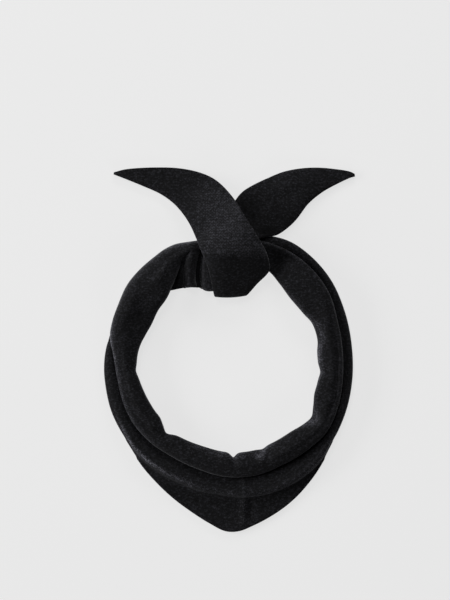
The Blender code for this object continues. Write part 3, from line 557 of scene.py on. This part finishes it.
def pleat_grid(along_count, across_count):
    """The pleats' cloth as a grid, from the roll's arm round to the bundle that the knot hides."""
    places = np.arange(len(PLEATS))
    row = rows_at(PLEATS, np.linspace(0, len(PLEATS) - 1, along_count), places)
    grid = np.empty((along_count, across_count, 3))
    for k in range(along_count):
        edge = np.array([row.edge_x[k], row.edge_y[k]])
        middle = np.array([row.mid_x[k], row.mid_y[k]])
        knot = np.array([row.knot_x[k], row.knot_y[k]])
        knot += PLEAT_TUCK * (knot - middle) / np.linalg.norm(knot - middle)
        long = np.linalg.norm(knot - edge)
        top = max(row.edge_top[k], 2.5)
        nose = min(PLEAT_NOSE, top / 2)
        line = [(nose + PLEAT_TURNED_BACK, HALF)] if top > PLEAT_TURNED_FROM else []
        if top / 2 - HALF > CORNER:
            line += arc(nose, top / 2, HALF - nose, top / 2 - HALF, -90, 60, 6)
        else:
            line.append((HALF, HALF))
        for share in (0.2, 0.4, 0.6, 0.8, 1.0):
            line.append((mix(nose, long, share), mix(row.edge_top[k], row.knot_top[k], share) - HALF))
        section, _ = evenly(line, across_count)
        share = (section[:, 0] / long)[:, None]
        bend = 4 * share * (1 - share)
        grid[k, :, :2] = edge + (knot - edge) * share + (middle - (edge + knot) / 2) * bend
        grid[k, :, 2] = section[:, 1]
    return grid


# ---- meshes --------------------------------------------------------------------------------------


def knit_places(grid, level_rows):
    """Where each point of a grid lies in the flat knit, across its columns of stitches and along them.

    A tail is laid out flat, so its columns run straight up the frame on its first sections, level_rows of
    them. Past those, where the cloth turns under, they go on round the fold. With no level_rows, the columns
    run across the grid's rows.
    """
    steps = np.diff(grid, axis=0)
    if level_rows:
        down = np.hypot(steps[..., 1], steps[..., 2])
        down[:level_rows] *= -np.sign(steps[:level_rows, :, 1])
        down = np.concatenate([-grid[:1, :, 1], down])
        return grid[..., 0], np.cumsum(down, axis=0)
    along = np.r_[0, np.cumsum(np.linalg.norm(steps, axis=2).mean(1))]
    across = np.cumsum(np.linalg.norm(np.diff(grid, axis=1), axis=2), axis=1)
    across = np.concatenate([np.zeros((len(grid), 1)), across], 1)
    across -= across[:, grid.shape[1] // 2, None]
    return np.broadcast_to(along[:, None], across.shape), across


def cloth(name, grid, material, pale, level_rows=0):
    """A thin shell of cloth on a grid of points in millimetres.

    One UV map has its places in the flat knit, in metres. A second one holds the painted light at each point:
    how far a painted highlight lightens it, or painted shade darkens it where that is negative.
    """
    rows, columns = grid.shape[:2]
    aside, up = knit_places(grid, level_rows)
    mesh = bpy.data.meshes.new(name)
    bm = bmesh.new()
    uv = bm.loops.layers.uv.new("cloth")
    shade = bm.loops.layers.uv.new("pale")
    points = [[bm.verts.new(Vector(point) * MM) for point in line] for line in grid]
    place = {}
    for i in range(rows):
        for j in range(columns):
            place[points[i][j]] = (aside[i, j] * MM, up[i, j] * MM), (pale[i, j], 0.0)
    for i in range(rows - 1):
        for j in range(columns - 1):
            face = bm.faces.new((points[i][j], points[i][j + 1], points[i + 1][j + 1], points[i + 1][j]))
            face.smooth = True
            for loop in face.loops:
                loop[uv].uv, loop[shade].uv = place[loop.vert]
    bm.to_mesh(mesh)
    bm.free()
    mesh.materials.append(material)
    made = bpy.data.objects.new(name, mesh)
    bpy.context.scene.collection.objects.link(made)
    shell = made.modifiers.new("layer", "SOLIDIFY")
    shell.thickness = SHELL * MM
    shell.offset = 0
    rounded = made.modifiers.new("soft_edges", "SUBSURF")
    rounded.levels = 1
    rounded.render_levels = 1
    bpy.ops.object.select_all(action="DESELECT")
    made.select_set(True)
    bpy.context.view_layer.objects.active = made
    bpy.ops.object.modifier_apply(modifier=shell.name)
    bpy.ops.object.modifier_apply(modifier=rounded.name)
    return made


def fading(distance, wide):
    """How a fold's paleness fades with the distance from its line."""
    return np.exp(-((distance / wide) ** 2))


def roll_cloth(material):
    along_count, count = ROLL_GRID
    turns = np.linspace(ROLL[0].turn, ROLL[-1].turn, along_count)
    rows = rows_at(ROLL, turns)
    sections = np.empty((along_count, count, 2))
    for k in range(along_count):
        sections[k], _ = evenly(roll_line(Roll(*(column[k] for column in rows))), count)
    grid = on_ring(turns, sections)
    creased(grid, ROLL_CREASES, 1, ease(sections[..., 1] / rows.nose[:, None] - SIDE_CREASED_FROM))
    pale = rows_at(PAINTED_LIGHT, turns)
    radius = sections[..., 0]
    hole = rows.hole + np.array([pinched(turn, 0)[0] for turn in turns])
    # Painted highlights on the inner fold, rim and first crease; painted shade on the rim, and the wrap's
    # shadow.
    upper = sections[..., 1] > NOSE_PALE_FROM * rows.nose[:, None]
    shade = pale.nose[:, None] * fading(radius - (hole + pale.inside)[:, None], NOSE_PALE_WIDE) * upper
    shade += pale.rim[:, None] * fading(radius - rows.rim[:, None], RIM_PALE_WIDE)
    shade += ROLL_PALE * near(ROLL_CREASES[0], grid) - ROLL_DARK * near(ROLL_PAINTED_SHADOW, grid)
    return cloth("roll_cloth", grid, material, shade)


def front_cloth(material):
    along_count, count = FRONT_GRID
    turns = np.linspace(DRAPE[0].turn, DRAPE[-1].turn, along_count)
    rows = rows_at(DRAPE, turns)
    rims = rows_at(ROLL, turns).rim
    sections = np.empty((along_count, count, 2))
    for k in range(along_count):
        sections[k], _ = evenly(drape_line(Drape(*(column[k] for column in rows)), rims[k]), count)
    grid = on_ring(turns, sections)
    radius = sections[..., 0]
    creased(grid, POINT_CREASES, 2, ease((radius - rims[:, None]) / CREASE_FADES))
    pale = rows_at(PAINTED_LIGHT, turns)
    # Painted highlights on the crest, the outline and the creases down the point; painted shade in the
    # groove.
    groove = rims[:, None] + GROOVE_DARK_WIDE / 2
    shade = pale.crest[:, None] * fading(radius - rows.ridge[:, None] - CREST_OUT, CREST_PALE_WIDE)
    shade += pale.outline[:, None] * fading(radius - rows.edge[:, None], CREST_PALE_WIDE)
    shade += POINT_PALE * (near(POINT_CREASES[0], grid) + near(POINT_CREASES[1], grid))
    shade -= pale.groove[:, None] * fading(radius - groove, GROOVE_DARK_WIDE)
    return cloth("front_cloth", grid, material, shade)


def right_tail_cloth(material):
    grid = tail_grid(RIGHT_TAIL, *RIGHT_GRID)
    creased(grid, RIGHT_CREASES, 4, 1.0)
    # The wrap's shadow is painted on the tail beside it.
    shade = -RIGHT_DARK * sum(near(painted_shadow, grid) for painted_shadow in RIGHT_PAINTED_SHADOWS)
    return cloth("right_tail_cloth", grid, material, shade, len(grid))


def left_tail_cloth(material):
    grid = tail_grid(LEFT_TAIL, *LEFT_GRID)
    creased(grid[:WRAP_SHOWN], WRAP_CREASES, 3, 1.0)
    # A painted highlight on the wrap where it faces the light, and painted shade on its lower face.
    onto_wrap = ease((grid[..., 0] - WRAP_PALE_X) / WRAP_PALE_RUN)
    onto_wrap *= ease((WRAP_PALE_Y - grid[..., 1]) / WRAP_PALE_RUN)
    above_top = ease((grid[..., 1] - WRAP_TOP_Y) / WRAP_TOP_RUN)
    shade = WRAP_PALE * onto_wrap * above_top - WRAP_PAINTED_SHADE * (1 - above_top)
    return cloth("left_tail_cloth", grid, material, shade, WRAP_SHOWN)


def pleat_cloth(material):
    grid = pleat_grid(*PLEAT_GRID)
    # Painted shade low in the pleats and in the arm's shadow, and a painted highlight on their tops.
    high = ease((grid[..., 2] - PLEAT_PALE_FROM) / (PLEAT_PALE_BY - PLEAT_PALE_FROM))
    shade = mix(-PLEAT_DARK, PLEAT_PALE, high * (1 - near(PLEAT_PAINTED_SHADOW, grid)))
    return cloth("pleat_cloth", grid, material, shade)


# ---- materials -----------------------------------------------------------------------------------

# The noises of the knit, as how many of their waves go to a centimetre.
WANDERS_PER_CM = 1.5
FLECKS_PER_CM = 6.0
HAIRS_PER_CM = 8.0
CLOUDS_PER_CM = 0.9
PATCHES_PER_CM = 1.8
LONG_ALONG_ROWS = 0.66  # flecks and hairs lie along the rows, so they are drawn out that way
WANDER = 3.0  # how far the stitches wander from straight columns and rows, from side to side
STITCH_MEAN = 0.32  # the pattern's mean height, taken off it so that it doesn't change the tone
STITCH_SHOWS = 0.12  # how strongly stitches show under the nap
PAINTED_STITCH_GAIN = 1.3  # how much stronger under painted light, and weaker under painted shade, up to a limit
PAINTED_STITCH_LIMIT = 0.16
PALE_GAIN = 5.2  # how much lighter the painted light makes the tone, and how much darker the painted shade
CLOUD_SHOWS = 0.12  # how strongly the slow changes of tone show
PATCH_CONTRAST = 2.2  # how far apart the patches of painted light are in strength, and the strength of the weakest one
PATCH_DARKEST = -0.3
BUMP = 0.5  # in millimetres


def linear(hex_colour):
    """An sRGB hex colour as linear red, green, blue and alpha."""
    parts = [int(hex_colour[k : k + 2], 16) / 255 for k in (1, 3, 5)]
    return (*(p / 12.92 if p <= 0.04045 else ((p + 0.055) / 1.055) ** 2.4 for p in parts), 1.0)


def add(tree, kind, links=None, values=None, **settings):
    """Adds a node with its settings. Inputs are linked from (node, output) pairs or given values."""
    node = tree.nodes.new(kind)
    for key, value in settings.items():
        setattr(node, key, value)
    for socket, value in (values or {}).items():
        node.inputs[socket].default_value = value
    for socket, (source, output) in (links or {}).items():
        tree.links.new(source.outputs[output], node.inputs[socket])
    return node


def stocking_stitch(tree, body):
    """How high each stitch stands, from 0 to 1. Each column is two legs that lean together, row over row."""
    flat = add(tree, "ShaderNodeUVMap", uv_map="cloth")
    flat = add(tree, "ShaderNodeSeparateXYZ", {0: (flat, 0)})
    wander = {"Scale": WANDERS_PER_CM / CM, "Detail": 2.0}
    wander = add(tree, "ShaderNodeTexNoise", {"Vector": (body, "Object")}, wander)
    about_nothing = {1: WANDER * MM, 2: -WANDER / 2 * MM}
    wander = add(tree, "ShaderNodeMath", {0: (wander, 0)}, about_nothing, operation="MULTIPLY_ADD")
    wale = add(tree, "ShaderNodeMath", {0: (flat, "X"), 1: (wander, 0)}, operation="ADD")
    wale = add(tree, "ShaderNodeMath", {0: (wale, 0)}, {1: WALE * MM}, operation="DIVIDE")
    wale = add(tree, "ShaderNodeMath", {0: (wale, 0)}, operation="FRACT")
    beside = add(tree, "ShaderNodeMath", {0: (wale, 0)}, {1: 0.5}, operation="SUBTRACT")
    beside = add(tree, "ShaderNodeMath", {0: (beside, 0)}, operation="ABSOLUTE")
    leg = add(tree, "ShaderNodeMath", {0: (beside, 0)}, {1: 2 * math.pi}, operation="MULTIPLY")
    leg = add(tree, "ShaderNodeMath", {0: (leg, 0)}, operation="SINE")
    course = add(tree, "ShaderNodeMath", {0: (flat, "Y"), 1: (wander, 0)}, operation="ADD")
    course = add(tree, "ShaderNodeMath", {0: (course, 0)}, {1: COURSE * MM}, operation="DIVIDE")
    lean = add(tree, "ShaderNodeMath", {0: (beside, 0)}, {1: LEG_LEANS}, operation="MULTIPLY")
    lean = add(tree, "ShaderNodeMath", {0: (lean, 0), 1: (course, 0)}, operation="ADD")
    loop = add(tree, "ShaderNodeMath", {0: (lean, 0)}, {1: 2 * math.pi}, operation="MULTIPLY")
    loop = add(tree, "ShaderNodeMath", {0: (loop, 0)}, operation="COSINE")
    loop = add(tree, "ShaderNodeMath", {0: (loop, 0)}, {1: 0.5, 2: 0.5}, operation="MULTIPLY_ADD")
    return add(tree, "ShaderNodeMath", {0: (leg, 0), 1: (loop, 0)}, operation="MULTIPLY")


def brushed_knit():
    """Fine cashmere knit in stocking stitch, brushed after knitting, spun from black and grey fibres.

    To the eye: near black and matt, with faint columns of stitches under a soft nap, small grey flecks, and a
    pale bloom where the nap is seen from the side.
    """
    material = bpy.data.materials.new("brushed_charcoal_cashmere_knit")
    material.use_nodes = True
    tree = material.node_tree
    shader = tree.nodes["Principled BSDF"]
    shader.inputs["Metallic"].default_value = 0.0
    shader.inputs["Roughness"].default_value = 0.95
    shader.inputs["Specular IOR Level"].default_value = 0.15
    shader.inputs["Sheen Weight"].default_value = 0.5
    shader.inputs["Sheen Roughness"].default_value = 0.35
    shader.inputs["Sheen Tint"].default_value = linear("#b8b9be")
    body = add(tree, "ShaderNodeTexCoord")
    stitch = stocking_stitch(tree, body)

    # Where light is painted on, the stitches show more, and where shade is painted, less.
    painted_light_map = add(tree, "ShaderNodeUVMap", uv_map="pale")
    painted_light_map = add(tree, "ShaderNodeSeparateXYZ", {0: (painted_light_map, 0)})
    contrast = add(tree, "ShaderNodeMath", {0: (painted_light_map, "X")}, {1: PAINTED_STITCH_LIMIT}, operation="MINIMUM")
    shows = {1: PAINTED_STITCH_GAIN, 2: STITCH_SHOWS}
    contrast = add(tree, "ShaderNodeMath", {0: (contrast, 0)}, shows, operation="MULTIPLY_ADD")
    drawn = add(tree, "ShaderNodeMath", {0: (stitch, 0)}, {1: STITCH_MEAN}, operation="SUBTRACT")
    drawn = add(tree, "ShaderNodeMath", {0: (drawn, 0), 1: (contrast, 0)}, operation="MULTIPLY")

    # The fibres: grey flecks that lie along the rows, finer hairs of the nap, and slow changes of tone.
    rows = {"Scale": (LONG_ALONG_ROWS, 1.0, 1.0)}
    rows = add(tree, "ShaderNodeMapping", {"Vector": (body, "Object")}, rows)
    fleck = {"Scale": FLECKS_PER_CM / CM, "Detail": 2.0, "Roughness": 0.6}
    fleck = add(tree, "ShaderNodeTexNoise", {"Vector": (rows, 0)}, fleck)
    hairs = {"Scale": HAIRS_PER_CM / CM, "Detail": 3.0, "Roughness": 0.6}
    hairs = add(tree, "ShaderNodeTexNoise", {"Vector": (rows, 0)}, hairs)
    cloud = {"Scale": CLOUDS_PER_CM / CM, "Detail": 2.0}
    cloud = add(tree, "ShaderNodeTexNoise", {"Vector": (body, "Object")}, cloud)
    tone = add(tree, "ShaderNodeMath", {0: (drawn, 0), 1: (fleck, 0)}, operation="ADD")
    clouded = {0: (cloud, 0), 2: (tone, 0)}
    tone = add(tree, "ShaderNodeMath", clouded, {1: CLOUD_SHOWS}, operation="MULTIPLY_ADD")
    ramp = add(tree, "ShaderNodeValToRGB", {"Fac": (tone, 0)})
    ramp.color_ramp.elements[0].position = 0.32
    ramp.color_ramp.elements[0].color = linear("#0d0d0e")
    ramp.color_ramp.elements[1].position = 0.81
    ramp.color_ramp.elements[1].color = linear("#343439")
    middle = ramp.color_ramp.elements.new(0.57)
    middle.color = linear("#19191b")

    # The painted light lightens the tone in patches, and the painted shade darkens it in patches.
    patchy = {"Scale": PATCHES_PER_CM / CM, "Detail": 2.0}
    patchy = add(tree, "ShaderNodeTexNoise", {"Vector": (body, "Object")}, patchy)
    spread = {1: PATCH_CONTRAST, 2: PATCH_DARKEST}
    patchy = add(tree, "ShaderNodeMath", {0: (patchy, 0)}, spread, operation="MULTIPLY_ADD")
    patchy = add(tree, "ShaderNodeMath", {0: (patchy, 0), 1: (painted_light_map, "X")}, operation="MULTIPLY")
    gain = add(tree, "ShaderNodeMath", {0: (patchy, 0)}, {1: PALE_GAIN, 2: 1.0}, operation="MULTIPLY_ADD")
    painted_tone = add(tree, "ShaderNodeHueSaturation", {"Color": (ramp, 0), "Value": (gain, 0)})
    tree.links.new(painted_tone.outputs[0], shader.inputs["Base Color"])

    height = add(tree, "ShaderNodeMath", {0: (stitch, 0), 2: (hairs, 0)}, {1: 0.5}, operation="MULTIPLY_ADD")
    bump = add(tree, "ShaderNodeBump", {"Height": (height, 0)}, {"Strength": 0.6, "Distance": BUMP * MM})
    tree.links.new(bump.outputs[0], shader.inputs["Normal"])
    return material


def table_top():
    """A matt white studio surface that glows a little, so that shadows on it stay faint."""
    material = bpy.data.materials.new("white_studio_surface")
    material.use_nodes = True
    shader = material.node_tree.nodes["Principled BSDF"]
    shader.inputs["Base Color"].default_value = linear("#808080")
    shader.inputs["Roughness"].default_value = 1.0
    shader.inputs["Specular IOR Level"].default_value = 0.0
    shader.inputs["Emission Color"].default_value = (1, 1, 1, 1)
    shader.inputs["Emission Strength"].default_value = 0.70
    return material


# ---- the scene -----------------------------------------------------------------------------------

# Each soft light: its name, its turn clockwise from the knot, how high it stands in degrees, its width and
# height in metres, and its power.
LIGHTS = (
    ("long_window", 277, 14, 3.1, 0.7, 142.0),
    ("high_window", 335, 46, 1.3, 1.3, 30.0),
    ("window_behind", 8, 16, 2.4, 0.7, 70.0),
    ("fill_in_front", 158, 13, 1.8, 0.7, 40.0),
)
LIGHT_DISTANCE = 4.0  # in metres, as are the table's size and the camera's place
TABLE_SIZE = 6.0
TABLE_BELOW = 0.4  # in millimetres, as the cloth's soft underside sags this far below the frame's floor
CAMERA_AT = (-0.005, 0.049, 2.508)


def soft_light(name, turn, elevation, wide, high, power):
    """A soft light that looks at the scarf, from a turn clockwise of the knot and an elevation."""
    data = bpy.data.lights.new(name, "AREA")
    data.shape = "RECTANGLE"
    data.energy = power
    data.size = wide
    data.size_y = high
    light = bpy.data.objects.new(name, data)
    bpy.context.scene.collection.objects.link(light)
    light.rotation_euler = (math.radians(90 - elevation), 0, math.radians(180 - turn))
    light.location = light.rotation_euler.to_matrix() @ Vector((0, 0, LIGHT_DISTANCE))


def stage():
    """The white table, a faint light from all round, the soft lights, and the camera straight above."""
    bpy.ops.object.select_all(action="DESELECT")
    bpy.ops.mesh.primitive_plane_add(size=TABLE_SIZE, location=(0, 0, -TABLE_BELOW * MM))
    floor = bpy.context.object
    floor.name = "table_top"
    floor.data.materials.append(table_top())
    world = bpy.data.worlds.new("studio")
    bpy.context.scene.world = world
    world.use_nodes = True
    world.node_tree.nodes["Background"].inputs["Color"].default_value = (1, 1, 1, 1)
    world.node_tree.nodes["Background"].inputs["Strength"].default_value = 0.01
    for light in LIGHTS:
        soft_light(*light)
    camera = bpy.data.cameras.new("camera")
    camera.lens = 150
    camera.sensor_width = 36
    holder = bpy.data.objects.new("camera", camera)
    bpy.context.scene.collection.objects.link(holder)
    holder.location = CAMERA_AT
    bpy.context.scene.camera = holder
    bpy.context.scene.view_settings.view_transform = "Standard"


def dress(piece, node):
    """Gives a piece its body, and hides the solid that it stands for."""
    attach(piece, "root")
    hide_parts(node)


knit = brushed_knit()
roll = roll_cloth(knit)
front = front_cloth(knit)
left = left_tail_cloth(knit)
right = right_tail_cloth(knit)
pleats = pleat_cloth(knit)
dress(roll, "neck_roll")
dress(front, "front_drape")
dress(left, "left_tail_and_wrap")
dress(right, "right_tail")
dress(pleats, "knot_pleats")
stage()
